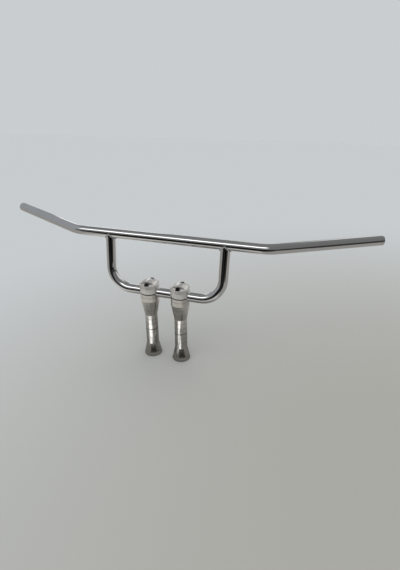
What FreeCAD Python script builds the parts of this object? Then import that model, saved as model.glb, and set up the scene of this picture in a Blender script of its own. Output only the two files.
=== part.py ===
import FreeCAD, Part
import math
import os
import Sketcher

# Chromed T-bar: a bent crossbar welded to a U-shaped lower tube, which two turned risers clamp.
# Frame: X along the bar, +Y to the rider (the grips sweep that way), +Z up.
# The origin lies midway between the two riser feet, on the plane that they stand on.
# Millimetres and degrees.
driving_sizes = {
    # bar tubes
    "tube_outer_dia": 22.2,
    "tube_wall": 2.0,
    "crossbar_half_straight": 208.0,
    "grip_bend_radius": 110.0,
    "grip_bend_angle": 20.7,
    "grip_straight": 221.0,
    "grip_plane_tilt": 12.2,
    "lower_half_straight": 88.0,
    "leg_bend_radius": 50.0,
    "leg_straight": 80.0,
    "bar_lean": 8.0,
    "cope_tip_drop": 2.0,
    "weld_leg": 2.6,
    "weld_flank": 1.2,
    # risers
    "riser_spacing": 77.0,
    "foot_dia": 45.0,
    "foot_cone_height": 34.5,
    "neck_dia": 30.6,
    "lower_neck_height": 42.5,
    "upper_neck_height": 40.0,
    "clamp_cone_height": 41.0,
    "clamp_band_height": 20.0,
    "seam_chamfer": 0.8,
    "edge_break": 0.6,
    "mount_thread_dia": 12.0,
    "mount_thread_depth": 30.0,
    "stud_dia": 10.0,
    "stud_length": 40.0,
    "stud_chamfer": 1.0,
    # clamps
    "clamp_gap": 1.0,
    "clamp_seat_wall": 1.9,
    "clamp_rim": 1.3,
    "cap_shelf_height": 22.0,
    "cap_arch_radius": 27.0,
    "cap_arch_lift": 1.5,
    # clamp bolts
    "bolt_dia": 6.0,
    "bolt_length": 40.0,
    "bolt_tip_chamfer": 0.8,
    "bolt_head_dia": 10.0,
    "bolt_head_height": 6.0,
    "bolt_head_chamfer": 0.5,
    "bolt_head_recess": 2.0,
    "hex_across_flats": 5.0,
    "hex_depth": 3.2,
    # fits
    "bolt_hole_clearance": 0.3,
    "bolt_head_clearance": 0.4,
    "hump_clearance": 0.3,
    "thread_clearance": 0.05,
    "thread_runout": 2.0,
}

# Places and radii that follow from the driving sizes.
tube_radius = "sizes.tube_outer_dia / 2"
neck_radius = "sizes.neck_dia / 2"
bolt_offset = f"({tube_radius} + sizes.clamp_seat_wall + sizes.bolt_hole_clearance + sizes.bolt_dia / 2)"
head_room = "(sizes.bolt_head_dia / 2 + sizes.bolt_head_clearance)"
clamp_radius = f"({bolt_offset} + {head_room} + sizes.clamp_rim)"
hump_half_width = f"({bolt_offset} - {head_room} - sizes.hump_clearance)"
bolt_seat = "(sizes.cap_shelf_height - sizes.bolt_head_recess)"
seam_height = "(sizes.foot_cone_height + sizes.lower_neck_height)"
bar_above_seam = "(sizes.upper_neck_height + sizes.clamp_cone_height + sizes.clamp_band_height)"
bar_height = f"({seam_height} + {bar_above_seam})"
bar_rise = "(sizes.leg_bend_radius + sizes.leg_straight)"
leg_half_spacing = "(sizes.lower_half_straight + sizes.leg_bend_radius)"
crossbar_back = f"{bar_rise} * sin(sizes.bar_lean * 1 deg)"
crossbar_height = f"{bar_height} + {bar_rise} * cos(sizes.bar_lean * 1 deg)"
stud_hole_radius = "(sizes.stud_dia / 2 + sizes.thread_clearance)"
stud_hole_depth = "(sizes.stud_length / 2 + sizes.thread_runout)"
tapped_hole_depth = f"(sizes.bolt_length - {bolt_seat} - sizes.clamp_gap / 2 + sizes.thread_runout)"

along_x = FreeCAD.Vector(1, 0, 0)
along_y = FreeCAD.Vector(0, 1, 0)
along_z = FreeCAD.Vector(0, 0, 1)
sides = {"left": -1, "right": 1}
root_point = (-1, 1)
horizontal_axis, vertical_axis = range(-1, -3, -1)
start_point, end_point, centre_point = range(1, 4)

doc = FreeCAD.newDocument("t_bar")
sheet = doc.addObject("Spreadsheet::Sheet", "sizes")
for row, (alias, size) in enumerate(driving_sizes.items(), start=1):
    sheet.set(f"A{row}", alias)
    sheet.set(f"B{row}", str(size))
    sheet.setAlias(f"B{row}", alias)
doc.recompute()


def value(expression):
    result = sheet.evalExpression(expression)
    return float(getattr(result, "Value", result))


def place(obj, x="0", y="0", z="0"):
    for axis, expression in zip("xyz", (x, y, z)):
        obj.setExpression(f"Placement.Base.{axis}", expression)


def turn(obj, axis, angle):
    obj.Placement = FreeCAD.Placement(FreeCAD.Vector(), FreeCAD.Rotation(axis, value(angle)))
    obj.setExpression("Placement.Rotation.Angle", angle)


def origin_plane(body, role):
    return next(feature for feature in body.Origin.OriginFeatures if feature.Role == role)


def new_body(label):
    body = doc.addObject("PartDesign::Body", label)
    body.Label = label
    return body


def new_sketch(body, role, name, lift="0"):
    sketch = body.newObject("Sketcher::SketchObject", name)
    sketch.AttachmentSupport = (origin_plane(body, role), [""])
    sketch.MapMode = "FlatFace"
    sketch.setExpression("AttachmentOffset.Base.z", lift)
    return sketch


def bind(sketch, kind, *items):
    *elements, expression = items
    index = sketch.addConstraint(Sketcher.Constraint(kind, *elements, value(expression)))
    sketch.setExpression(f"Constraints[{index}]", expression)


def pin_point(sketch, geometry, point, across, up):
    # Ties one point of a sketch to the sketch's axes; a negative distance is measured the other way.
    for kind, axis, distance in (("DistanceX", vertical_axis, across), ("DistanceY", horizontal_axis, up)):
        if distance == "0":
            sketch.addConstraint(Sketcher.Constraint("PointOnObject", geometry, point, axis))
        elif distance.startswith("-"):
            bind(sketch, kind, geometry, point, *root_point, distance[1:])
        else:
            bind(sketch, kind, *root_point, geometry, point, distance)


def join_round(sketch, first, count):
    for index in range(count):
        line = first + index
        following = first + (index + 1) % count
        sketch.addConstraint(Sketcher.Constraint("Coincident", line, end_point, following, start_point))


def polygon(sketch, corners):
    first = sketch.GeometryCount
    points = [FreeCAD.Vector(value(across), value(up), 0) for across, up in corners]
    for start, end in zip(points, points[1:] + points[:1]):
        sketch.addGeometry(Part.LineSegment(start, end))
    join_round(sketch, first, len(points))
    for index, (across, up) in enumerate(corners, start=first):
        pin_point(sketch, index, start_point, across, up)


def circle(sketch, across, up, radius):
    centre = FreeCAD.Vector(value(across), value(up), 0)
    index = sketch.addGeometry(Part.Circle(centre, along_z, value(radius)))
    pin_point(sketch, index, centre_point, across, up)
    bind(sketch, "Radius", index, radius)


def revolve(body, name, corners):
    sketch = new_sketch(body, "XZ_Plane", f"{name}_profile")
    polygon(sketch, corners)
    turned = body.newObject("PartDesign::Revolution", name)
    turned.Profile = sketch
    turned.ReferenceAxis = (sketch, ["V_Axis"])
    turned.Angle = 360
    doc.recompute()
    return turned


def pocket(body, name, sketch, depth=None):
    # A cut along the sketch's own axis: to a depth, or right through on both sides.
    before = body.Shape.Volume
    cut = body.newObject("PartDesign::Pocket", name)
    cut.Profile = sketch
    if depth is None:
        cut.SideType = "Symmetric"
        cut.Type = "ThroughAll"
    else:
        cut.setExpression("Length", depth)
    doc.recompute()
    if not body.Shape.Volume < before:
        raise ValueError(f"{body.Label}: {name} cuts nothing")
    return cut


def bar_seat(body, height):
    # The half-round seat that the lower tube lies in, across the clamp.
    sketch = new_sketch(body, "YZ_Plane", "bar_seat_profile")
    circle(sketch, "0", height, tube_radius)
    pocket(body, "bar_seat", sketch)


def bolt_holes(body, name, lift, radius, depth):
    # The front and rear holes of a clamp.
    sketch = new_sketch(body, "XY_Plane", f"{name}_profile", lift)
    for offset in (bolt_offset, f"-{bolt_offset}"):
        circle(sketch, "0", offset, radius)
    pocket(body, name, sketch, depth)


def bend_path(body, role, first_run, bend_radius, bend_angle, last_run):
    # A straight run from the middle of the bar, one bend to the sketch's upper side and a second run.
    path = new_sketch(body, role, "tube_path")
    radius = value(bend_radius)
    angle = math.radians(value(bend_angle))
    bend_start = along_x * value(first_run)
    bend_circle = Part.Circle(bend_start + along_y * radius, along_z, radius)
    bend = Part.ArcOfCircle(bend_circle, -math.pi / 2, angle - math.pi / 2)
    heading = along_x * math.cos(angle) + along_y * math.sin(angle)
    bend_end = bend_circle.Center + FreeCAD.Vector(math.sin(angle), -math.cos(angle), 0) * radius
    path.addGeometry(Part.LineSegment(FreeCAD.Vector(), bend_start))
    path.addGeometry(bend)
    path.addGeometry(Part.LineSegment(bend_end, bend_end + heading * value(last_run)))
    path.addConstraint(Sketcher.Constraint("Coincident", 0, start_point, *root_point))
    path.addConstraint(Sketcher.Constraint("Horizontal", 0))
    path.addConstraint(Sketcher.Constraint("Tangent", 0, end_point, 1, start_point))
    path.addConstraint(Sketcher.Constraint("Tangent", 1, end_point, 2, start_point))
    bind(path, "Distance", 0, first_run)
    bind(path, "Radius", 1, bend_radius)
    bind(path, "Distance", 2, last_run)
    index = path.addConstraint(Sketcher.Constraint("Angle", horizontal_axis, start_point, 2, start_point, angle))
    path.setExpression(f"Constraints[{index}]", f"{bend_angle} * 1 deg")
    doc.recompute()
    return path


def bent_tube(body, path):
    # A hollow tube along half of its path, which starts at the middle of the bar, and its mirror half.
    section = new_sketch(body, "YZ_Plane", "tube_section")
    circle(section, "0", "0", tube_radius)
    circle(section, "0", "0", f"{tube_radius} - sizes.tube_wall")
    doc.recompute()
    half = body.newObject("PartDesign::AdditivePipe", "half_tube")
    half.Profile = section
    half.Spine = (path, ["Edge1", "Edge2", "Edge3"])
    doc.recompute()
    whole = body.newObject("PartDesign::Mirrored", "whole_tube")
    whole.Originals = [half]
    whole.MirrorPlane = (origin_plane(body, "YZ_Plane"), [""])
    body.Tip = whole
    doc.recompute()


def make_crossbar():
    # One planar bend to each grip; the plane of the bends is tilted up towards the rider.
    body = new_body("crossbar")
    path = bend_path(body, "XY_Plane", "sizes.crossbar_half_straight", "sizes.grip_bend_radius",
                     "sizes.grip_bend_angle", "sizes.grip_straight")
    bent_tube(body, path)
    turn(body, along_x, "sizes.grip_plane_tilt")
    place(body, y=crossbar_back, z=crossbar_height)
    return body


def make_lower_tube():
    # The U below the crossbar; its leg tops are coped to the crossbar's round.
    body = new_body("lower_tube")
    path = bend_path(body, "XZ_Plane", "sizes.lower_half_straight", "sizes.leg_bend_radius",
                     "90", "sizes.leg_straight - sizes.cope_tip_drop")
    bent_tube(body, path)
    cope = new_sketch(body, "YZ_Plane", "cope_profile")
    circle(cope, "0", bar_rise, tube_radius)
    pocket(body, "cope", cope)
    turn(body, -along_x, "sizes.bar_lean")
    place(body, z=bar_height)
    return body


def weld_plate(name, tilt):
    # An elliptical plate along the saddle line, which lies in a plane at 45 degrees to both tubes.
    outline = doc.addObject("Part::Ellipse", f"{name}_outline")
    outline.setExpression("MajorRadius", f"sqrt(2) * {tube_radius} + sizes.weld_leg / sqrt(2)")
    outline.setExpression("MinorRadius", f"{tube_radius} + sizes.weld_flank")
    outline.Placement = FreeCAD.Placement(FreeCAD.Vector(), FreeCAD.Rotation(along_y, tilt))
    plate = doc.addObject("Part::Extrusion", name)
    plate.Base = outline
    plate.DirMode = "Normal"
    plate.Solid = True
    plate.Symmetric = True
    plate.setExpression("LengthFwd", "2 * sizes.weld_leg")
    return plate


def combine(kind, name, base, tool):
    result = doc.addObject(kind, name)
    result.Base = base
    result.Tool = tool
    return result


def make_weld(side):
    # The fillet weld round a leg's top: what is left of two mitred plates outside the tubes that they join.
    name = f"{side}_weld"
    room = "4 * sizes.tube_outer_dia"
    crossbar_round = doc.addObject("Part::Cylinder", f"{name}_crossbar_round")
    crossbar_round.Placement = FreeCAD.Placement(FreeCAD.Vector(), FreeCAD.Rotation(along_y, 90))
    place(crossbar_round, x=f"-{room} / 2")
    leg_round = doc.addObject("Part::Cylinder", f"{name}_leg_round")
    place(leg_round, z=f"-{room} - sizes.cope_tip_drop")
    for tube_round in (crossbar_round, leg_round):
        tube_round.setExpression("Radius", tube_radius)
        tube_round.setExpression("Height", room)
    halves = []
    for tilt, beyond_mitre in ((45, f"-{room}"), (-45, "0")):
        plate = weld_plate(f"{name}_plate", tilt)
        far_side = doc.addObject("Part::Box", f"{name}_far_side")
        for length in ("Length", "Width", "Height"):
            far_side.setExpression(length, room)
        place(far_side, x=beyond_mitre, y=f"-{room} / 2", z=f"-{room} / 2")
        halves.append(combine("Part::Cut", f"{name}_half", plate, far_side))
    saddle = combine("Part::Fuse", f"{name}_saddle", *halves)
    below_crossbar = combine("Part::Cut", f"{name}_below_crossbar", saddle, crossbar_round)
    weld = combine("Part::Cut", name, below_crossbar, leg_round)
    turn(weld, -along_x, "sizes.bar_lean")
    place(weld, x=f"{sides[side]} * {leg_half_spacing}", y=crossbar_back, z=crossbar_height)
    return weld


def make_upper_riser(side):
    # Turned upper half: neck, cone and clamp band, with the lower half of the bar seat across its top.
    body = new_body(f"{side}_upper_riser")
    cone_foot = "sizes.upper_neck_height"
    band_foot = f"{cone_foot} + sizes.clamp_cone_height"
    top = f"{bar_above_seam} - sizes.clamp_gap / 2"
    revolve(body, "turned_half", [
        (stud_hole_radius, "0"),
        (f"{neck_radius} - sizes.seam_chamfer", "0"),
        (neck_radius, "sizes.seam_chamfer"),
        (neck_radius, cone_foot),
        (clamp_radius, band_foot),
        (clamp_radius, f"{top} - sizes.edge_break"),
        (f"{clamp_radius} - sizes.edge_break", top),
        ("0", top),
        ("0", stud_hole_depth),
        (stud_hole_radius, stud_hole_depth),
    ])
    bar_seat(body, bar_above_seam)
    bolt_holes(body, "tapped_holes", top, "sizes.bolt_dia / 2 + sizes.thread_clearance", tapped_hole_depth)
    place(body, x=f"{sides[side]} * sizes.riser_spacing / 2", z=seam_height)
    return body


def make_lower_riser(side):
    # Turned lower half: neck and foot cone, tapped from below for the bolt that holds the riser.
    body = new_body(f"{side}_lower_riser")
    thread_radius = "sizes.mount_thread_dia / 2"
    revolve(body, "turned_half", [
        (thread_radius, "0"),
        ("sizes.foot_dia / 2 - sizes.edge_break", "0"),
        ("sizes.foot_dia / 2", "sizes.edge_break"),
        (neck_radius, "sizes.foot_cone_height"),
        (neck_radius, f"{seam_height} - sizes.seam_chamfer"),
        (f"{neck_radius} - sizes.seam_chamfer", seam_height),
        (stud_hole_radius, seam_height),
        (stud_hole_radius, f"{seam_height} - {stud_hole_depth}"),
        ("0", f"{seam_height} - {stud_hole_depth}"),
        ("0", "sizes.mount_thread_depth"),
        (thread_radius, "sizes.mount_thread_depth"),
    ])
    place(body, x=f"{sides[side]} * sizes.riser_spacing / 2")
    return body


def make_riser_stud(side):
    # The hidden stud that draws the two riser halves together at the seam.
    body = new_body(f"{side}_riser_stud")
    half_length = "sizes.stud_length / 2"
    radius = "sizes.stud_dia / 2"
    revolve(body, "stud", [
        ("0", f"-({half_length})"),
        (f"{radius} - sizes.stud_chamfer", f"-({half_length})"),
        (radius, f"-({half_length} - sizes.stud_chamfer)"),
        (radius, f"{half_length} - sizes.stud_chamfer"),
        (f"{radius} - sizes.stud_chamfer", half_length),
        ("0", half_length),
    ])
    place(body, x=f"{sides[side]} * sizes.riser_spacing / 2", z=seam_height)
    return body


def arch_profile(sketch):
    # The hump seen along Y: an arch that springs from the level of the shelves.
    radius = value("sizes.cap_arch_radius")
    lift = value("sizes.cap_arch_lift")
    spring = math.asin((value("sizes.cap_shelf_height") - lift) / radius)
    arch = Part.ArcOfCircle(Part.Circle(along_y * lift, along_z, radius), spring, math.pi - spring)
    sketch.addGeometry(arch)
    sketch.addGeometry(Part.LineSegment(arch.EndPoint, arch.StartPoint))
    join_round(sketch, 0, sketch.GeometryCount)
    pin_point(sketch, 0, centre_point, "0", "sizes.cap_arch_lift")
    bind(sketch, "Radius", 0, "sizes.cap_arch_radius")
    sketch.addConstraint(Sketcher.Constraint("Horizontal", 1))
    bind(sketch, "DistanceY", *root_point, 1, start_point, "sizes.cap_shelf_height")


def make_clamp_cap(side):
    # The upper half of the clamp: a turned block with an arched hump over the bar, between the bolt heads.
    body = new_body(f"{side}_clamp_cap")
    foot = "sizes.clamp_gap / 2"
    shelf = "sizes.cap_shelf_height"
    revolve(body, "turned_block", [
        ("0", foot),
        (f"{clamp_radius} - sizes.edge_break", foot),
        (clamp_radius, f"{foot} + sizes.edge_break"),
        (clamp_radius, f"{shelf} - sizes.edge_break"),
        (f"{clamp_radius} - sizes.edge_break", shelf),
        ("0", shelf),
    ])
    profile = new_sketch(body, "XZ_Plane", "hump_profile")
    arch_profile(profile)
    hump = body.newObject("PartDesign::Pad", "hump")
    hump.Profile = profile
    hump.SideType = "Symmetric"
    hump.setExpression("Length", f"2 * {hump_half_width}")
    doc.recompute()
    bar_seat(body, "0")
    bolt_holes(body, "head_recesses", "sizes.cap_shelf_height", head_room, "sizes.bolt_head_recess")
    hole_radius = "sizes.bolt_dia / 2 + sizes.bolt_hole_clearance"
    bolt_holes(body, "bolt_holes", bolt_seat, hole_radius, bolt_seat)
    place(body, x=f"{sides[side]} * sizes.riser_spacing / 2", z=bar_height)
    return body


def make_clamp_bolt(side, end, direction):
    # Socket-head bolt, seated in the recess of its shelf; the origin is under the head.
    body = new_body(f"{side}_{end}_bolt")
    shank = "sizes.bolt_dia / 2"
    head = "sizes.bolt_head_dia / 2"
    revolve(body, "bolt", [
        ("0", "-(sizes.bolt_length)"),
        (f"{shank} - sizes.bolt_tip_chamfer", "-(sizes.bolt_length)"),
        (shank, "-(sizes.bolt_length - sizes.bolt_tip_chamfer)"),
        (shank, "0"),
        (head, "0"),
        (head, "sizes.bolt_head_height - sizes.bolt_head_chamfer"),
        (f"{head} - sizes.bolt_head_chamfer", "sizes.bolt_head_height"),
        ("0", "sizes.bolt_head_height"),
    ])
    socket = body.newObject("PartDesign::SubtractivePrism", "hex_socket")
    socket.Polygon = 6
    socket.AttachmentSupport = (origin_plane(body, "XY_Plane"), [""])
    socket.MapMode = "FlatFace"
    socket.setExpression("Circumradius", "sizes.hex_across_flats / sqrt(3)")
    socket.setExpression("Height", "sizes.hex_depth")
    socket.setExpression("AttachmentOffset.Base.z", "sizes.bolt_head_height - sizes.hex_depth")
    doc.recompute()
    place(body, x=f"{sides[side]} * sizes.riser_spacing / 2", y=f"{direction} * {bolt_offset}",
          z=f"{bar_height} + {bolt_seat}")
    return body


sub_parts = [make_crossbar(), make_lower_tube()]
for side in sides:
    sub_parts.append(make_weld(side))
    sub_parts.append(make_clamp_cap(side))
    sub_parts.append(make_clamp_bolt(side, "front", -1))
    sub_parts.append(make_clamp_bolt(side, "rear", 1))
    sub_parts.append(make_upper_riser(side))
    sub_parts.append(make_lower_riser(side))
    sub_parts.append(make_riser_stud(side))
doc.recompute()

for obj in doc.Objects:
    if "Invalid" in obj.State or "Error" in obj.State:
        raise ValueError(f"{obj.Label} failed: {obj.State}")
for sub_part in sub_parts:
    shape = sub_part.Shape
    if shape.isNull() or not shape.isValid() or len(shape.Solids) != 1:
        raise ValueError(f"{sub_part.Label} is not one valid solid")

os.makedirs("parts", exist_ok=True)
for sub_part in sub_parts:
    sub_part.Shape.exportStep(f"parts/{sub_part.Label}.step")
    print(f"{sub_part.Label}: {sub_part.Shape.Volume / 1000:.2f} cm3")
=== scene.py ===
import bmesh
import bpy
import math
from mathutils import Matrix, Vector


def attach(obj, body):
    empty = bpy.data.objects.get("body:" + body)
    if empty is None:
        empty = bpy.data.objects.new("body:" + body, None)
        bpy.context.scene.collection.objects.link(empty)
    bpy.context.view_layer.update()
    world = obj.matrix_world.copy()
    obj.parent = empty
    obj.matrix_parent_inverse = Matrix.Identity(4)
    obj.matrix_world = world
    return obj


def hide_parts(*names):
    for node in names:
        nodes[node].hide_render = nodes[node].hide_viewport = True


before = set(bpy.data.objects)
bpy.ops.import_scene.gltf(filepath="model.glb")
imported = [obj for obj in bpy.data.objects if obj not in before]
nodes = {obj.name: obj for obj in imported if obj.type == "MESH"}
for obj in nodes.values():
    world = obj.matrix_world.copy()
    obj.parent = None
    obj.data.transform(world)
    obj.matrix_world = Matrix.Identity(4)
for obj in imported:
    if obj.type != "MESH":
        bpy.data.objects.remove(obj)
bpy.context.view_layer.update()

mm = 0.001
riserSpacing = 77.0  # between the middles of the two risers, in millimetres
print("frame loaded:", len(nodes), "nodes")


# node helpers
def addNode(tree, kind, label="", **settings):
    node = tree.nodes.new(kind)
    node.label = label
    for name, value in settings.items():
        setattr(node, name, value)
    return node


def feed(tree, target, source):
    if isinstance(source, bpy.types.NodeSocket):
        tree.links.new(source, target)
    else:
        target.default_value = source


def calc(tree, operation, first, second=0.0, clamp=False):
    node = addNode(tree, "ShaderNodeMath", operation=operation, use_clamp=clamp)
    feed(tree, node.inputs[0], first)
    feed(tree, node.inputs[1], second)
    return node.outputs[0]


def product(tree, first, *others):
    for other in others:
        first = calc(tree, "MULTIPLY", first, other)
    return first


def rangeOf(tree, value, fromMin, fromMax, toMin=0.0, toMax=1.0):
    node = addNode(tree, "ShaderNodeMapRange", interpolation_type="SMOOTHSTEP")
    for socket, number in zip(node.inputs, (value, fromMin, fromMax, toMin, toMax)):
        feed(tree, socket, number)
    return node.outputs[0]


def between(tree, value, limits):
    # fades in over the first two limits, and out over the last two
    fadeIn, full, hold, fadeOut = limits
    return product(tree, rangeOf(tree, value, fadeIn, full), rangeOf(tree, value, hold, fadeOut, 1.0, 0.0))


def distance(tree, x, y):
    return calc(tree, "SQRT", calc(tree, "ADD", product(tree, x, x), product(tree, y, y)))


def mixColour(tree, factor, first, second):
    node = addNode(tree, "ShaderNodeMix", data_type="RGBA")
    feed(tree, node.inputs[0], factor)
    feed(tree, node.inputs[6], first)
    feed(tree, node.inputs[7], second)
    return node.outputs[2]


def split(tree, vector):
    node = addNode(tree, "ShaderNodeSeparateXYZ")
    feed(tree, node.inputs[0], vector)
    return node.outputs


def noise(tree, vector, scale, detail=2.0, roughness=0.5):
    node = addNode(tree, "ShaderNodeTexNoise")
    feed(tree, node.inputs["Vector"], vector)
    feed(tree, node.inputs["Scale"], scale)
    feed(tree, node.inputs["Detail"], detail)
    feed(tree, node.inputs["Roughness"], roughness)
    return node.outputs["Fac"]


def stretch(tree, vector, scale):
    node = addNode(tree, "ShaderNodeVectorMath", operation="MULTIPLY")
    feed(tree, node.inputs[0], vector)
    feed(tree, node.inputs[1], scale)
    return node.outputs[0]


def grey(level):
    return (level, level, level, 1.0)


def radians(angles):
    return [math.radians(angle) for angle in angles]


def newObject(name, data):
    piece = bpy.data.objects.new(name, data)
    bpy.context.scene.collection.objects.link(piece)
    return piece


# camera at the photograph's angle, in its 400 x 570 frame
view = {
    "position": (0.2841, -0.6647, 0.5592),
    "yaw": 16.54,
    "pitch": 26.56,
    "roll": 0.44,
    "focalPixels": 343.55,
    "framePixels": 570,
    "sensor": 36.0,
}


def makeCamera():
    yaw, pitch, roll = radians(view[name] for name in ("yaw", "pitch", "roll"))
    ahead = Vector((-math.sin(yaw) * math.cos(pitch), math.cos(yaw) * math.cos(pitch), -math.sin(pitch)))
    right = Vector((math.cos(yaw), math.sin(yaw), 0.0))
    up = right.cross(ahead)
    turnedRight = math.cos(roll) * right + math.sin(roll) * up
    turnedUp = math.cos(roll) * up - math.sin(roll) * right
    data = bpy.data.cameras.new("photoCamera")
    data.sensor_width = view["sensor"]
    data.lens = view["focalPixels"] / view["framePixels"] * view["sensor"]
    camera = newObject("photoCamera", data)
    turned = Matrix((turnedRight, turnedUp, -ahead)).transposed().to_4x4()
    camera.matrix_world = Matrix.Translation(view["position"]) @ turned
    bpy.context.scene.camera = camera


makeCamera()
print("camera placed")

# studio: the pale tone seen behind, a soft fill for matt surfaces, and what the polished metal mirrors
studio = {
    "backdrop": (0.585, 0.612, 0.628, 1.0),
    "fill": (0.42, 1.40),  # brightness at the horizon and overhead
    # degrees from the front horizon over the top to the back, and the brightness there
    "mirrored": ((0, 0.02), (12, 0.02), (18, 0.28), (42, 0.28), (44, 2.4), (58, 2.4), (60, 0.25), (100, 0.22),
                 (125, 0.20), (150, 0.25), (161, 0.30), (166, 0.05), (180, 0.04)),
    "mirroredSides": (-56.0, -46.0, 6.0, 18.0),  # degrees round from the front
    "overTop": (0.42, 0.52),  # share of the half turn, from which the back takes those tones too
    "backLeft": (-0.62, -0.565),  # direction along X, short of which it doesn't
    "sideways": (-0.5, 0.3),  # directions along X from the left tone to the right one
    "leftTone": (0.35, 0.365, 0.385, 1.0),
    "rightTone": 0.19,
    "lowRightTone": 0.038,
    "lowRight": (0.10, 0.24),  # directions along Z from the low right tone to the upper one
    # each bright wall's level, and the directions along X, Y and Z that it lies between
    "walls": ((0.85, (-0.08, 0.10, 2, 3), (0.2, 0.4, 2, 3), (0.05, 0.15, 0.68, 0.80)),
              (1.6, (-0.575, -0.55, -0.40, -0.34), (0.72, 0.78, 2, 3), (0.0, 0.04, 0.30, 0.36))),
}


def fillRamp(ramp, stops):
    elements = ramp.color_ramp.elements
    while len(elements) < len(stops):
        elements.new(0.5)
    for element, (position, level) in zip(elements, stops):
        element.position = position
        element.color = grey(level)


def mirroredTone(tree, x, y, z):
    towardsFront = product(tree, y, -1.0)
    rise = calc(tree, "DIVIDE", calc(tree, "ARCTAN2", z, towardsFront), math.pi, clamp=True)
    ramp = addNode(tree, "ShaderNodeValToRGB", "from the front horizon over the top to the back")
    feed(tree, ramp.inputs[0], rise)
    fillRamp(ramp, [(angle / 180.0, level) for angle, level in studio["mirrored"]])
    azimuth = calc(tree, "ARCTAN2", x, towardsFront)
    inFront = between(tree, azimuth, radians(studio["mirroredSides"]))
    atBack = product(tree, rangeOf(tree, rise, *studio["overTop"]), rangeOf(tree, x, *studio["backLeft"]))
    rightTone = rangeOf(tree, z, *studio["lowRight"], studio["lowRightTone"], studio["rightTone"])
    aside = mixColour(tree, rangeOf(tree, x, *studio["sideways"]), studio["leftTone"], rightTone)
    tone = mixColour(tree, calc(tree, "MAXIMUM", inFront, atBack), aside, ramp.outputs[0])
    for level, *limits in studio["walls"]:
        wall = product(tree, *(between(tree, *pair) for pair in zip((x, y, z), limits)))
        tone = mixColour(tree, wall, tone, grey(level))
    return tone


def makeStudio():
    world = bpy.data.worlds.new("softStudio")
    world.use_nodes = True
    tree = world.node_tree
    tree.nodes.clear()
    x, y, z = split(tree, addNode(tree, "ShaderNodeTexCoord").outputs["Generated"])
    fill = rangeOf(tree, z, 0.0, 1.0, *studio["fill"])
    path = addNode(tree, "ShaderNodeLightPath").outputs
    shown = mixColour(tree, path["Is Diffuse Ray"], mirroredTone(tree, x, y, z), fill)
    shown = mixColour(tree, path["Is Camera Ray"], shown, studio["backdrop"])
    light = addNode(tree, "ShaderNodeBackground")
    feed(tree, light.inputs[0], shown)
    output = addNode(tree, "ShaderNodeOutputWorld")
    feed(tree, output.inputs[0], light.outputs[0])
    bpy.context.scene.world = world
    bpy.context.scene.view_settings.view_transform = "Standard"


# floor: pale, a little darker towards the front right as painted shade, with painted reflection tones of its
# own that only mirrored rays see, in metres
floorLook = {
    "size": 16.0,
    "roughness": 0.7,
    "near": (0.375, 0.373, 0.345, 1.0),
    "far": (0.536, 0.561, 0.576, 1.0),
    "centre": (0.8, -0.4),  # of the darker part
    "fade": (0.3, 1.9),
    # painted reflection: the floor's tone as mirrored rays see it, with painted shade near the middle, in
    # front and far out to the front right, and duller to the sides
    "mirrored": (0.60, 0.585, 0.555),
    "under": (0.13, 0.30),  # darker this close to the middle
    "underLevel": 0.36,
    "front": (-0.56, -0.34),  # dark this far in front, between these angles
    "frontSides": (-46.0, -38.0, 34.0, 48.0),
    "frontDark": 0.97,
    "right": ((0.75, 0.95, 6.0, 7.0), (-7.0, -6.0, -0.48, -0.34)),  # dark far out at the front right
    "rightLevel": 0.1,
    "middle": (-0.50, -0.32, 0.16, 0.28),  # duller to both sides of this
    "sideLevel": 0.55,
}

# glints: a painted highlight, a glowing strip on the floor where a neck mirrors it, and a painted shade patch
# where a foot does
glint = {
    "neckRadius": 0.0155,
    "stripSides": (-31.0, -25.0, 11.0, 17.0),  # degrees round the riser from the front
    "stripDip": (0.75, 0.79, 0.89, 0.94),  # run along the floor for each length of the ray
    "stripReach": (0.20, 0.25),  # longest ray
    "stripShine": 0.9,
    "footSides": (-14.0, -8.0, 60.0, 72.0),
    "footDip": (0.93, 0.97, 1.04, 1.09),
    "footReach": (0.16, 0.20),
    "footLevel": 0.12,
}


# painted reflection shade: how much darker mirrored rays see the floor, by place
def paintedReflectionShade(tree, x, y):
    under = rangeOf(tree, distance(tree, x, y), *floorLook["under"], floorLook["underLevel"], 1.0)
    azimuth = calc(tree, "ARCTAN2", x, product(tree, y, -1.0))
    front = between(tree, azimuth, radians(floorLook["frontSides"]))
    front = product(tree, front, rangeOf(tree, y, *floorLook["front"], floorLook["frontDark"], 0.0))
    right = product(tree, *(between(tree, *pair) for pair in zip((x, y), floorLook["right"])))
    right = rangeOf(tree, right, 0.0, 1.0, 1.0, floorLook["rightLevel"])
    middle = between(tree, x, floorLook["middle"])
    sides = rangeOf(tree, middle, 0.0, 1.0, floorLook["sideLevel"], 1.0)
    return product(tree, under, calc(tree, "SUBTRACT", 1.0, front), right, sides)


# painted highlight strips and painted shade patches on the floor, placed where the necks and feet mirror it
def floorGlints(tree, x, y, rayLength):
    strip = patch = 0.0
    towardsFront = product(tree, y, -1.0)
    stripSides, footSides = radians(glint["stripSides"]), radians(glint["footSides"])
    for centre in (-riserSpacing / 2 * mm, riserSpacing / 2 * mm):
        aside = calc(tree, "SUBTRACT", x, centre)
        around = calc(tree, "ARCTAN2", aside, towardsFront)
        run = calc(tree, "SUBTRACT", distance(tree, aside, y), glint["neckRadius"])
        dip = calc(tree, "DIVIDE", run, rayLength)
        onNeck = product(tree, between(tree, around, stripSides), between(tree, dip, glint["stripDip"]))
        onFoot = product(tree, between(tree, around, footSides), between(tree, dip, glint["footDip"]))
        strip = calc(tree, "MAXIMUM", strip, onNeck)
        patch = calc(tree, "MAXIMUM", patch, onFoot)
    patch = product(tree, patch, rangeOf(tree, rayLength, *glint["footReach"], 1.0, 0.0))
    strip = product(tree, strip, rangeOf(tree, rayLength, *glint["stripReach"], 1.0, 0.0))
    return product(tree, strip, calc(tree, "SUBTRACT", 1.0, patch)), patch


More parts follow.
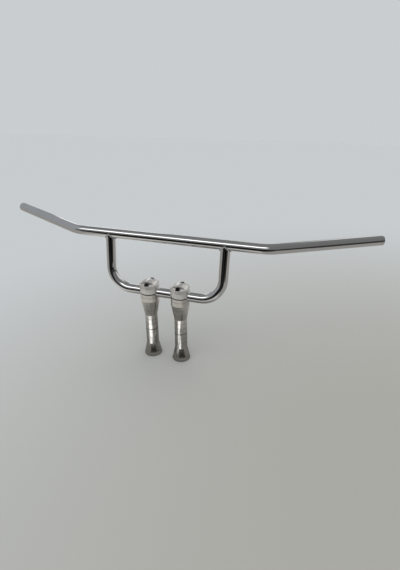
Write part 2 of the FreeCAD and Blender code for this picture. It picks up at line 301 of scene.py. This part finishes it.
def paintFloor(tree):
    shader = tree.nodes["Principled BSDF"]
    shader.inputs["Roughness"].default_value = floorLook["roughness"]
    shader.inputs["Specular IOR Level"].default_value = 0.0
    shader.inputs["Emission Strength"].default_value = glint["stripShine"]
    x, y, z = split(tree, addNode(tree, "ShaderNodeTexCoord").outputs["Object"])
    # painted shade: the floor's colour darkens towards floorLook's centre at the front right
    away = distance(tree, *(calc(tree, "SUBTRACT", *pair) for pair in zip((x, y), floorLook["centre"])))
    pale = mixColour(tree, rangeOf(tree, away, *floorLook["fade"]), floorLook["near"], floorLook["far"])
    path = addNode(tree, "ShaderNodeLightPath").outputs
    strip, patch = floorGlints(tree, x, y, path["Ray Length"])
    # painted reflection: mirrored rays see the floor in this darkened tone, and white on the painted
    # highlight strips
    level = product(tree, paintedReflectionShade(tree, x, y), rangeOf(tree, patch, 0.0, 1.0, 1.0, glint["footLevel"]))
    mirrored = mixColour(tree, strip, stretch(tree, floorLook["mirrored"], level), grey(1.0))
    feed(tree, shader.inputs["Base Color"], mixColour(tree, path["Is Glossy Ray"], pale, mirrored))
    # painted highlight: the floor glows white on the strips, for mirrored rays only
    shine = product(tree, strip, path["Is Glossy Ray"])
    feed(tree, shader.inputs["Emission Color"], mixColour(tree, shine, grey(0.0), grey(1.0)))


def makeFloor():
    half = floorLook["size"] / 2
    corners = [(-half, -half, 0), (half, -half, 0), (half, half, 0), (-half, half, 0)]
    mesh = bpy.data.meshes.new("paleFloor")
    mesh.from_pydata(corners, [], [(0, 1, 2, 3)])
    floor = newObject("paleFloor", mesh)
    material = bpy.data.materials.new("paleFloor")
    material.use_nodes = True
    material.cycles.emission_sampling = "NONE"  # the strips are mirrored, and light nothing
    mesh.materials.append(material)
    paintFloor(material.node_tree)


makeStudio()
makeFloor()
print("studio ready")

numberKind, vectorKind = "NodeSocketFloat", "NodeSocketVector"
wholeKind, materialKind, shapeKind = "NodeSocketInt", "NodeSocketMaterial", "NodeSocketGeometry"


# shader groups that several finishes share
def newGroup(name, inputs, outputs):
    tree = bpy.data.node_groups.new(name, "ShaderNodeTree")
    for socketName, kind in inputs:
        tree.interface.new_socket(socketName, in_out="INPUT", socket_type=kind)
    for socketName, kind in outputs:
        tree.interface.new_socket(socketName, in_out="OUTPUT", socket_type=kind)
    return tree, addNode(tree, "NodeGroupInput").outputs, addNode(tree, "NodeGroupOutput").inputs


# smudges left by hands, and fine scratches that run all ways
marksLook = {
    "smudgeDetail": 4.0,
    "smudgeRoughness": 0.6,
    "smudge": (0.46, 0.72),
    "scratch": (0.66, 0.74),
    "scratchStretch": ((90.0, 900.0, 2400.0), (1400.0, 120.0, 700.0)),
}


def makeHandlingMarks(look):
    tree, given, result = newGroup("handlingMarks", [("Vector", vectorKind), ("Smudge Size", numberKind)],
                                   [("Smudge", numberKind), ("Scratch", numberKind)])
    place = given["Vector"]
    perMetre = calc(tree, "DIVIDE", 1.0, given["Smudge Size"])
    cloud = noise(tree, place, perMetre, look["smudgeDetail"], look["smudgeRoughness"])
    feed(tree, result["Smudge"], rangeOf(tree, cloud, *look["smudge"]))
    lines = 0.0
    for lengths in look["scratchStretch"]:
        streak = noise(tree, stretch(tree, place, lengths), 1.0)
        lines = calc(tree, "MAXIMUM", lines, rangeOf(tree, streak, *look["scratch"]))
    feed(tree, result["Scratch"], lines)
    return tree


# tool lines round a turned piece: a fine pitch, uneven in strength, and a few deeper rings
ringsLook = {
    "fineDetail": 3.0,
    "ringScale": 1.6,
    "ringDetail": 1.0,
    "ring": (0.58, 0.66),
    "blotchesPerMetre": 55.0,
    "blotchDetail": 3.0,
    "blotchRoughness": 0.55,
}


def noiseUpwards(tree, height, spacing, scale, detail):
    node = addNode(tree, "ShaderNodeTexNoise", noise_dimensions="1D")
    feed(tree, node.inputs["W"], calc(tree, "DIVIDE", height, spacing))
    feed(tree, node.inputs["Scale"], scale)
    feed(tree, node.inputs["Detail"], detail)
    return node.outputs["Fac"]


def makeTurnedRings(look):
    inputs = [("Vector", vectorKind), ("Pitch", numberKind), ("Ring Spacing", numberKind)]
    outputs = [("Fine", numberKind), ("Ring", numberKind), ("Blotch", numberKind)]
    tree, given, result = newGroup("turnedRings", inputs, outputs)
    place = given["Vector"]
    x, y, z = split(tree, place)
    feed(tree, result["Fine"], noiseUpwards(tree, z, given["Pitch"], 1.0, look["fineDetail"]))
    ring = noiseUpwards(tree, z, given["Ring Spacing"], look["ringScale"], look["ringDetail"])
    feed(tree, result["Ring"], rangeOf(tree, ring, *look["ring"]))
    blotch = noise(tree, place, look["blotchesPerMetre"], look["blotchDetail"], look["blotchRoughness"])
    feed(tree, result["Blotch"], blotch)
    return tree


handlingMarks = makeHandlingMarks(marksLook)
turnedRings = makeTurnedRings(ringsLook)


# finishes
def newFinish(name, constants):
    material = bpy.data.materials.new(name)
    material.use_nodes = True
    tree = material.node_tree
    shader = tree.nodes["Principled BSDF"]
    for socketName, value in constants.items():
        shader.inputs[socketName].default_value = value
    return material, tree, shader, addNode(tree, "ShaderNodeTexCoord").outputs["Object"]


def useGroup(tree, group, inputs):
    node = addNode(tree, "ShaderNodeGroup", node_tree=group)
    for socketName, value in inputs.items():
        feed(tree, node.inputs[socketName], value)
    return node.outputs


def emboss(tree, shader, height, depth):
    bump = addNode(tree, "ShaderNodeBump")
    bump.inputs["Distance"].default_value = depth
    bump.inputs["Strength"].default_value = 1.0
    feed(tree, bump.inputs["Height"], height)
    feed(tree, shader.inputs["Normal"], bump.outputs["Normal"])


chromeLook = {
    "colour": (0.71, 0.715, 0.72, 1),
    "dulled": (0.63, 0.625, 0.61, 1),
    "dulling": 0.35,
    "polish": 0.02,
    "smudged": 0.06,
    "scratched": 0.05,
    "smudgeSize": 0.045,
    "ripple": 0.0000025,
    "ripplesPerMetre": 60.0,
}
weldLook = {**chromeLook, "polish": 0.10, "smudged": 0.20, "smudgeSize": 0.006}


def makeChrome(name, look):
    constants = {"Base Color": look["colour"], "Roughness": look["polish"], "Metallic": 1.0}
    material, tree, shader, place = newFinish(name, constants)
    marks = useGroup(tree, handlingMarks, {"Vector": place, "Smudge Size": look["smudgeSize"]})
    haze = rangeOf(tree, marks["Smudge"], 0.0, 1.0, look["polish"], look["smudged"])
    scratched = product(tree, marks["Scratch"], look["scratched"])
    feed(tree, shader.inputs["Roughness"], calc(tree, "ADD", haze, scratched))
    dulling = product(tree, marks["Smudge"], look["dulling"])
    feed(tree, shader.inputs["Base Color"], mixColour(tree, dulling, look["colour"], look["dulled"]))
    emboss(tree, shader, noise(tree, place, look["ripplesPerMetre"]), look["ripple"])
    return material


turnedLook = {
    "smudgeSize": 0.02,
    "smudged": 0.06,
    "ringTone": 0.6,
    "ringDepth": 0.4,
    "scratchDepth": 0.5,
    "blotch": (0.35, 0.75),
    "blotchTone": 0.35,
    "fine": (0.3, 0.7),
    "seamShadeAndGrime": (0.07, 0.068, 0.064, 1),
    "grimeRoughness": 0.6,
    "seamCore": 0.7,  # share of a seam's half width that is fully dark
}
# seams are the heights of the dark joint lines, partly grime and partly painted shade in the seams, in
# metres, and half the width of each line
riserLook = {
    **turnedLook,
    "light": (0.66, 0.65, 0.62, 1),
    "dark": (0.46, 0.45, 0.425, 1),
    "roughness": (0.17, 0.24),
    "metallic": 1.0,
    "anisotropic": 0.8,
    "pitch": 0.00035,
    "ringSpacing": 0.011,
    "grooves": 0.000003,
    "seams": ((0.077, 0.0010), (0.178, 0.0014)),
}
capLook = {
    **turnedLook,
    "light": (0.77, 0.76, 0.735, 1),
    "dark": (0.62, 0.61, 0.585, 1),
    "roughness": (0.27, 0.37),
    "metallic": 0.70,
    "anisotropic": 0.3,
    "pitch": 0.00030,
    "ringSpacing": 0.009,
    "grooves": 0.000004,
    "seams": ((0.178, 0.0014),),
}


def seamLines(tree, z, look):
    joint = 0.0
    for height, half in look["seams"]:
        away = calc(tree, "ABSOLUTE", calc(tree, "SUBTRACT", z, height))
        joint = calc(tree, "MAXIMUM", joint, rangeOf(tree, away, look["seamCore"] * half, half, 1.0, 0.0))
    return joint


def makeTurned(name, look):
    constants = {"Base Color": look["light"], "Roughness": look["roughness"][0], "Metallic": look["metallic"],
                 "Anisotropic": look["anisotropic"]}
    material, tree, shader, place = newFinish(name, constants)
    rings = useGroup(tree, turnedRings,
                     {"Vector": place, "Pitch": look["pitch"], "Ring Spacing": look["ringSpacing"]})
    marks = useGroup(tree, handlingMarks, {"Vector": place, "Smudge Size": look["smudgeSize"]})
    x, y, z = split(tree, place)
    joint = seamLines(tree, z, look)
    blotch = rangeOf(tree, rings["Blotch"], *look["blotch"], 0.0, look["blotchTone"])
    tone = calc(tree, "ADD", product(tree, rings["Ring"], look["ringTone"]), blotch, clamp=True)
    steel = mixColour(tree, tone, look["light"], look["dark"])
    # dark seam lines: partly grime, partly painted shade in the seams
    feed(tree, shader.inputs["Base Color"], mixColour(tree, joint, steel, look["seamShadeAndGrime"]))
    rough = rangeOf(tree, rings["Fine"], *look["fine"], *look["roughness"])
    rough = calc(tree, "ADD", rough, product(tree, marks["Smudge"], look["smudged"]))
    grimy = product(tree, joint, look["grimeRoughness"])
    feed(tree, shader.inputs["Roughness"], calc(tree, "MAXIMUM", rough, grimy))
    height = calc(tree, "SUBTRACT", rings["Fine"], product(tree, rings["Ring"], look["ringDepth"]))
    height = calc(tree, "SUBTRACT", height, product(tree, marks["Scratch"], look["scratchDepth"]))
    emboss(tree, shader, height, look["grooves"])
    return material


oxideLook = {
    "colour": (0.018, 0.018, 0.020, 1),
    "worn": (0.10, 0.098, 0.095, 1),
    "wear": 0.5,
    "roughness": (0.30, 0.48),
    "metallic": 0.85,
    "smudgeSize": 0.003,
    "grainsPerMetre": 2600.0,
    "grain": 0.000015,
}


def makeOxide(name, look):
    constants = {"Base Color": look["colour"], "Roughness": look["roughness"][0],
                 "Metallic": look["metallic"]}
    material, tree, shader, place = newFinish(name, constants)
    marks = useGroup(tree, handlingMarks, {"Vector": place, "Smudge Size": look["smudgeSize"]})
    worn = product(tree, marks["Smudge"], look["wear"])
    feed(tree, shader.inputs["Base Color"], mixColour(tree, worn, look["colour"], look["worn"]))
    feed(tree, shader.inputs["Roughness"], rangeOf(tree, marks["Smudge"], 0.0, 1.0, *look["roughness"]))
    emboss(tree, shader, noise(tree, place, look["grainsPerMetre"]), look["grain"])
    return material


chrome = makeChrome("barChrome", chromeLook)
weldChrome = makeChrome("weldChrome", weldLook)
turnedSteel = makeTurned("turnedSteel", riserLook)
capSteel = makeTurned("capSteel", capLook)
blackOxide = makeOxide("blackOxide", oxideLook)
print("finishes ready")


# geometry helpers
def geometryTree(name, inputs):
    tree = bpy.data.node_groups.new(name, "GeometryNodeTree")
    for socketName, kind in [("Geometry", shapeKind)] + inputs:
        tree.interface.new_socket(socketName, in_out="INPUT", socket_type=kind)
    tree.interface.new_socket("Geometry", in_out="OUTPUT", socket_type=shapeKind)
    return tree, addNode(tree, "NodeGroupInput").outputs


def closeTree(tree, geometry, finish):
    realised = addNode(tree, "GeometryNodeRealizeInstances")
    feed(tree, realised.inputs[0], geometry)
    painted = addNode(tree, "GeometryNodeSetMaterial")
    feed(tree, painted.inputs["Geometry"], realised.outputs[0])
    feed(tree, painted.inputs["Material"], finish)
    feed(tree, addNode(tree, "NodeGroupOutput").inputs[0], painted.outputs[0])


def bake(piece):
    graph = bpy.context.evaluated_depsgraph_get()
    mesh = bpy.data.meshes.new_from_object(piece.evaluated_get(graph))
    mesh.name = piece.name
    piece.modifiers.clear()
    old = piece.data
    piece.data = mesh
    bpy.data.meshes.remove(old)


def grow(piece, tree, values):
    modifier = piece.modifiers.new(tree.name, "NODES")
    modifier.node_group = tree
    for item in tree.interface.items_tree:
        if item.in_out == "INPUT" and item.name in values:
            modifier[item.identifier] = values[item.name]
    bake(piece)


def softShade(mesh, sharpAngle):
    work = bmesh.new()
    work.from_mesh(mesh)
    for face in work.faces:
        face.smooth = True
    for edge in work.edges:
        edge.smooth = edge.calc_face_angle(0.0) < math.radians(sharpAngle)
    work.to_mesh(mesh)
    work.free()


def finishPiece(piece, material, slotName, *replaced):
    piece.data.materials.clear()
    piece.data.materials.append(material)
    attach(piece, "root")
    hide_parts(*replaced)


# the two bent tubes, swept along their centre lines, in millimetres and degrees
bar = {
    "radius": 11.1,
    "wall": 2.0,
    "height": 178.0,  # of the lower tube's middle
    "rise": 130.0,  # from there to the crossbar, along the lean
    "lean": 8.0,
    "sides": 72,
    "step": 5.0,
    "bendStep": 2.0,
    "rimRound": 0.45,
    "rimSegments": 2,
    "rimAngle": 50.0,
    "sharp": 60.0,
    "coperLength": 400.0,
}
crossbarSize = {"firstRun": 208.0, "bendRadius": 110.0, "bendAngle": 20.7, "lastRun": 221.0, "tilt": 12.2}
lowerSize = {"firstRun": 88.0, "bendRadius": 50.0, "bendAngle": 90.0, "lastRun": 78.0}
lean = math.radians(bar["lean"])
crossbarPlace = Vector((0.0, bar["rise"] * math.sin(lean), bar["height"] + bar["rise"] * math.cos(lean)))


def makeSweepTree():
    inputs = [("Radius", numberKind), ("Sides", wholeKind), ("Finish", materialKind)]
    tree, given = geometryTree("sweptTube", inputs)
    path = addNode(tree, "GeometryNodeMeshToCurve")
    feed(tree, path.inputs["Mesh"], given["Geometry"])
    section = addNode(tree, "GeometryNodeCurvePrimitiveCircle")
    feed(tree, section.inputs["Resolution"], given["Sides"])
    feed(tree, section.inputs["Radius"], given["Radius"])
    tube = addNode(tree, "GeometryNodeCurveToMesh")
    feed(tree, tube.inputs["Curve"], path.outputs["Curve"])
    feed(tree, tube.inputs["Profile Curve"], section.outputs["Curve"])
    smooth = addNode(tree, "GeometryNodeSetShadeSmooth")
    feed(tree, smooth.inputs["Geometry"], tube.outputs["Mesh"])
    closeTree(tree, smooth.outputs[0], given["Finish"])
    return tree


def evenly(length, step):
    count = math.ceil(length / step)
    return [length * index / count for index in range(count + 1)]


def halfPath(size):
    # centre line from the middle outwards: along the bar, and the way it bends to
    turn = math.radians(size["bendAngle"])
    radius = size["bendRadius"]
    runs = [(along, 0.0) for along in evenly(size["firstRun"], bar["step"])]
    steps = math.ceil(size["bendAngle"] / bar["bendStep"])
    bend = [turn * (index + 1) / steps for index in range(steps)]
    runs += [(size["firstRun"] + radius * math.sin(angle), radius * (1 - math.cos(angle))) for angle in bend]
    endAlong, endRise = runs[-1]
    for along in evenly(size["lastRun"], bar["step"])[1:]:
        runs.append((endAlong + along * math.cos(turn), endRise + along * math.sin(turn)))
    return runs


def tubePath(name, size, place):
    half = halfPath(size)
    whole = [(-along, rise) for along, rise in reversed(half[1:])] + half
    mesh = bpy.data.meshes.new(name)
    points = [place(along, rise) * mm for along, rise in whole]
    mesh.from_pydata(points, [(index, index + 1) for index in range(len(points) - 1)], [])
    return newObject(name, mesh)


def onCrossbar(along, rise):
    tilt = math.radians(crossbarSize["tilt"])
    return crossbarPlace + Vector((along, rise * math.cos(tilt), rise * math.sin(tilt)))


def onLower(along, rise):
    return Vector((along, rise * math.sin(lean), bar["height"] + rise * math.cos(lean)))


def giveWall(piece):
    wall = piece.modifiers.new("wall", "SOLIDIFY")
    wall.thickness = bar["wall"] * mm
    wall.offset = -1.0
    rim = piece.modifiers.new("rim", "BEVEL")
    rim.width = bar["rimRound"] * mm
    rim.segments = bar["rimSegments"]
    rim.limit_method = "ANGLE"
    rim.angle_limit = math.radians(bar["rimAngle"])


def makeCoper():
    # the crossbar's round, which the leg tops are cut to
    mesh = bpy.data.meshes.new("coper")
    work = bmesh.new()
    turned = Matrix.Translation(crossbarPlace * mm) @ Matrix.Rotation(math.pi / 2, 4, "Y")
    bmesh.ops.create_cone(work, cap_ends=True, segments=bar["sides"], radius1=bar["radius"] * mm,
                          radius2=bar["radius"] * mm, depth=bar["coperLength"] * mm, matrix=turned)
    work.to_mesh(mesh)
    work.free()
    return newObject("coper", mesh)


def sweptTube(name, tree, size, place):
    piece = tubePath(name, size, place)
    grow(piece, tree, {"Radius": bar["radius"] * mm, "Sides": bar["sides"], "Finish": chrome})
    giveWall(piece)
    return piece


def makeTubes():
    tree = makeSweepTree()
    crossbarPiece = sweptTube("crossbarTube", tree, crossbarSize, onCrossbar)
    lowerPiece = sweptTube("lowerTube", tree, lowerSize, onLower)
    cutter = makeCoper()
    cope = lowerPiece.modifiers.new("cope", "BOOLEAN")
    cope.operation = "DIFFERENCE"
    cope.solver = "EXACT"
    cope.object = cutter
    for piece in (crossbarPiece, lowerPiece):
        bake(piece)
        softShade(piece.data, bar["sharp"])
    bpy.data.objects.remove(cutter)
    finishPiece(crossbarPiece, chrome, "bar_chrome", "crossbar")
    finishPiece(lowerPiece, chrome, "bar_chrome", "lower_tube")


makeTubes()
print("tubes swept")

# weld beads: overlapping drops laid along each leg's saddle line, in millimetres
bead = {
    "spacing": 1.5,
    "crest": 1.95,
    "length": 1.35,
    "lift": 0.75,
    "flankSink": 0.75,
    "round": 0.16,
    "points": 96,
    "dropSides": 20,
    "dropRings": 12,
}


def makeBeadTree():
    inputs = [("Spacing", numberKind), ("Crest", numberKind), ("Drop Length", numberKind),
              ("Finish", materialKind)]
    tree, given = geometryTree("weldBead", inputs)
    path = addNode(tree, "GeometryNodeMeshToCurve")
    feed(tree, path.inputs["Mesh"], given["Geometry"])
    along = addNode(tree, "GeometryNodeCurveToPoints", mode="LENGTH")
    feed(tree, along.inputs["Curve"], path.outputs["Curve"])
    feed(tree, along.inputs["Length"], given["Spacing"])
    drop = addNode(tree, "GeometryNodeMeshUVSphere")
    drop.inputs["Segments"].default_value = bead["dropSides"]
    drop.inputs["Rings"].default_value = bead["dropRings"]
    drop.inputs["Radius"].default_value = 1.0
    smooth = addNode(tree, "GeometryNodeSetShadeSmooth")
    feed(tree, smooth.inputs["Geometry"], drop.outputs["Mesh"])
    size = addNode(tree, "ShaderNodeCombineXYZ")
    feed(tree, size.inputs["X"], given["Crest"])
    feed(tree, size.inputs["Y"], given["Crest"])
    feed(tree, size.inputs["Z"], given["Drop Length"])
    laid = addNode(tree, "GeometryNodeInstanceOnPoints")
    feed(tree, laid.inputs["Points"], along.outputs["Points"])
    feed(tree, laid.inputs["Instance"], smooth.outputs[0])
    feed(tree, laid.inputs["Rotation"], along.outputs["Rotation"])
    feed(tree, laid.inputs["Scale"], size.outputs[0])
    closeTree(tree, laid.outputs[0], given["Finish"])
    return tree


def saddlePoint(angle):
    across, side = math.cos(angle), math.sin(angle)
    drop = math.sqrt(across * across + bead["round"] ** 2)
    onSaddle = bar["radius"] * Vector((across, side, -drop))
    outward = Vector((across, 2 * side, -abs(across))).normalized()  # half way between both tubes' normals
    lift = bead["lift"] * abs(across) - bead["flankSink"] * (1 - abs(across))
    return onSaddle + outward * lift


def makeWelds():
    tree = makeBeadTree()
    sizes = {"Spacing": bead["spacing"] * mm, "Crest": bead["crest"] * mm, "Drop Length": bead["length"] * mm}
    legSpread = lowerSize["firstRun"] + lowerSize["bendRadius"]
    leant = Matrix.Rotation(-lean, 4, "X")
    count = bead["points"]
    for side, sign in (("left", -1), ("right", 1)):
        place = Matrix.Translation(crossbarPlace + Vector((sign * legSpread, 0, 0))) @ leant
        points = [place @ saddlePoint(2 * math.pi * index / count) * mm for index in range(count)]
        mesh = bpy.data.meshes.new(side + "Bead")
        mesh.from_pydata(points, [(index, (index + 1) % count) for index in range(count)], [])
        piece = newObject(side + "Bead", mesh)
        grow(piece, tree, {**sizes, "Finish": weldChrome})
        finishPiece(piece, weldChrome, "bar_chrome", side + "_weld")


makeWelds()
print("welds laid")

# socket-head bolts: one lathe shape, set at the four holes, in millimetres
bolt = {
    "shank": 3.0,
    "length": 40.0,
    "tip": 0.8,
    "threadFrom": 14.0,
    "threadEnd": 0.5,
    "pitch": 1.0,
    "pitchSteps": 6,
    "threadDepth": 0.32,
    "headRadius": 5.0,
    "headHeight": 6.0,
    "headChamfer": 0.5,
    "footRound": 0.25,
    "knurl": 0.12,
    "knurlFrom": (0.7, 0.85),  # up from the head's foot
    "knurlTo": (1.4, 1.2),  # down from the head's top
    "topRound": (0.15, 0.12),  # in from the side, and down from the top
    "socketFlats": 5.0,
    "socketDepth": 3.2,
    "mouth": 3.05,
    "mouthTaper": (0.25, 0.45),
    "drillShare": 0.9,
    "drillTip": 0.4,
    "turns": 96,
    "knurlSpan": 3,
    "sharp": 35.0,
    "rowSpacing": 32.6,
    "seat": 20.0,
    "seed": 4,
}


def plain(radius):
    return lambda angle: radius


def threaded(height):
    def radiusAt(angle):
        phase = (height / bolt["pitch"] - angle / (2 * math.pi)) % 1.0
        return bolt["shank"] - bolt["threadDepth"] * abs(2 * phase - 1)
    return radiusAt


def knurled(angle):
    wave = 0.5 - 0.5 * math.cos(angle * bolt["turns"] / bolt["knurlSpan"])
    return bolt["headRadius"] - bolt["knurl"] * wave


def hexagon(angle):
    return bolt["socketFlats"] / 2 / math.cos((angle % (math.pi / 3)) - math.pi / 6)


def socketMouth(angle):
    return min(hexagon(angle), bolt["mouth"])


def shankRings():
    start = bolt["tip"] - bolt["length"]
    steps = int((bolt["length"] - bolt["tip"] - bolt["threadFrom"]) / bolt["pitch"] * bolt["pitchSteps"])
    heights = [start + index * bolt["pitch"] / bolt["pitchSteps"] for index in range(steps + 1)]
    rings = [(plain(bolt["shank"] - bolt["tip"]), -bolt["length"])]
    rings += [(threaded(height), height) for height in heights]
    rings += [(plain(bolt["shank"]), bolt["threadEnd"] - bolt["threadFrom"]), (plain(bolt["shank"]), 0.0)]
    return rings


def headRings():
    radius, top, chamfer = bolt["headRadius"], bolt["headHeight"], bolt["headChamfer"]
    plainBelow, knurlBelow = bolt["knurlFrom"]
    knurlAbove, plainAbove = bolt["knurlTo"]
    inwards, downwards = bolt["topRound"]
    rings = [(plain(radius - bolt["footRound"]), 0.0), (plain(radius), bolt["footRound"])]
    rings += [(plain(radius), plainBelow), (knurled, knurlBelow), (knurled, top - knurlAbove)]
    rings += [(plain(radius), top - plainAbove), (plain(radius), top - chamfer)]
    rings += [(plain(radius - inwards), top - downwards), (plain(radius - chamfer), top)]
    return rings


def socketRings():
    top, bottom = bolt["headHeight"], bolt["headHeight"] - bolt["socketDepth"]
    taperFrom, taperTo = bolt["mouthTaper"]
    drill = bolt["socketFlats"] / 2 * bolt["drillShare"]
    rings = [(plain(bolt["mouth"]), top), (socketMouth, top - taperFrom), (hexagon, top - taperTo)]
    rings += [(hexagon, bottom), (plain(drill), bottom)]
    return rings


def boltMesh():
    # radius by angle and height, from the tip up and down into the socket
    count = bolt["turns"]
    rings = shankRings() + headRings() + socketRings()
    points, faces = [], []
    for radiusAt, height in rings:
        for index in range(count):
            angle = 2 * math.pi * index / count
            radius = radiusAt(angle)
            points.append(Vector((radius * math.cos(angle), radius * math.sin(angle), height)) * mm)
    for ring in range(len(rings) - 1):
        for index in range(count):
            here, beside = ring * count + index, ring * count + (index + 1) % count
            faces.append((here, beside, beside + count, here + count))
    faces.append(tuple(reversed(range(count))))
    points.append(Vector((0, 0, bolt["headHeight"] - bolt["socketDepth"] - bolt["drillTip"])) * mm)
    last = (len(rings) - 1) * count
    faces += [(last + index, last + (index + 1) % count, len(points) - 1) for index in range(count)]
    mesh = bpy.data.meshes.new("clampBolts")
    mesh.from_pydata(points, [], faces)
    softShade(mesh, bolt["sharp"])
    return mesh


def makeBoltTree():
    inputs = [("Spread X", numberKind), ("Spread Y", numberKind), ("Height", numberKind),
              ("Seed", wholeKind), ("Finish", materialKind)]
    tree, given = geometryTree("setBolts", inputs)
    holes = addNode(tree, "GeometryNodeMeshGrid")
    feed(tree, holes.inputs["Size X"], given["Spread X"])
    feed(tree, holes.inputs["Size Y"], given["Spread Y"])
    holes.inputs["Vertices X"].default_value = 2
    holes.inputs["Vertices Y"].default_value = 2
    lift = addNode(tree, "ShaderNodeCombineXYZ")
    feed(tree, lift.inputs["Z"], given["Height"])
    lifted = addNode(tree, "GeometryNodeSetPosition")
    feed(tree, lifted.inputs["Geometry"], holes.outputs["Mesh"])
    feed(tree, lifted.inputs["Offset"], lift.outputs[0])
    turn = addNode(tree, "FunctionNodeRandomValue", data_type="FLOAT")
    turn.inputs[3].default_value = math.pi / 3  # a hexagon repeats after this turn
    feed(tree, turn.inputs["Seed"], given["Seed"])
    spin = addNode(tree, "ShaderNodeCombineXYZ")
    feed(tree, spin.inputs["Z"], turn.outputs[1])
    placed = addNode(tree, "GeometryNodeInstanceOnPoints")
    feed(tree, placed.inputs["Points"], lifted.outputs[0])
    feed(tree, placed.inputs["Instance"], given["Geometry"])
    feed(tree, placed.inputs["Rotation"], spin.outputs[0])
    closeTree(tree, placed.outputs[0], given["Finish"])
    return tree


def makeBolts():
    piece = newObject("clampBolts", boltMesh())
    grow(piece, makeBoltTree(), {"Spread X": riserSpacing * mm, "Spread Y": bolt["rowSpacing"] * mm,
                                 "Height": (bar["height"] + bolt["seat"]) * mm, "Seed": bolt["seed"],
                                 "Finish": blackOxide})
    finishPiece(piece, blackOxide, "bolt_steel", "left_front_bolt", "left_rear_bolt", "right_front_bolt",
                "right_rear_bolt")


makeBolts()
print("bolts set")

# caps: the left one's CAD form with its outer edges eased, and the same piece moved over to the right riser
cap = {
    "ease": 0.55,  # millimetres
    "segments": 3,
    "merge": 0.001,
    "flat": 0.2,  # degrees, and so are the next two
    "corner": 28.0,
    "sharp": 40.0,
}


def easedCap():
    mesh = nodes["left_clamp_cap"].data.copy()
    if "custom_normal" in mesh.attributes:
        mesh.attributes.remove(mesh.attributes["custom_normal"])
    work = bmesh.new()
    work.from_mesh(mesh)
    bmesh.ops.remove_doubles(work, verts=work.verts, dist=cap["merge"] * mm)
    flat = math.radians(cap["flat"])
    bmesh.ops.dissolve_limit(work, angle_limit=flat, verts=work.verts, edges=work.edges)
    eased = work.edges.layers.float.new("bevel_weight_edge")
    for edge in work.edges:
        if edge.is_convex and edge.calc_face_angle(0.0) > math.radians(cap["corner"]):
            edge[eased] = 1.0
    work.to_mesh(mesh)
    work.free()
    mesh.name = "leftCap"
    piece = newObject("leftCap", mesh)
    ease = piece.modifiers.new("ease", "BEVEL")
    ease.width = cap["ease"] * mm
    ease.segments = cap["segments"]
    ease.limit_method = "WEIGHT"
    bake(piece)
    softShade(piece.data, cap["sharp"])
    return piece


def makeCaps():
    left = easedCap()
    mesh = left.data.copy()
    mesh.name = "rightCap"
    mesh.transform(Matrix.Translation((riserSpacing * mm, 0.0, 0.0)))
    right = newObject("rightCap", mesh)
    finishPiece(left, capSteel, "riser_steel", "left_clamp_cap")
    finishPiece(right, capSteel, "riser_steel", "right_clamp_cap")


makeCaps()
print("caps eased")

# risers and studs keep their CAD solids: turned steel outside, black oxide inside
for side in ("left", "right"):
    for node in ("_upper_riser", "_lower_riser"):
        nodes[side + node].material_slots[0].material = turnedSteel
    nodes[side + "_riser_stud"].material_slots[0].material = blackOxide
print("risers finished")
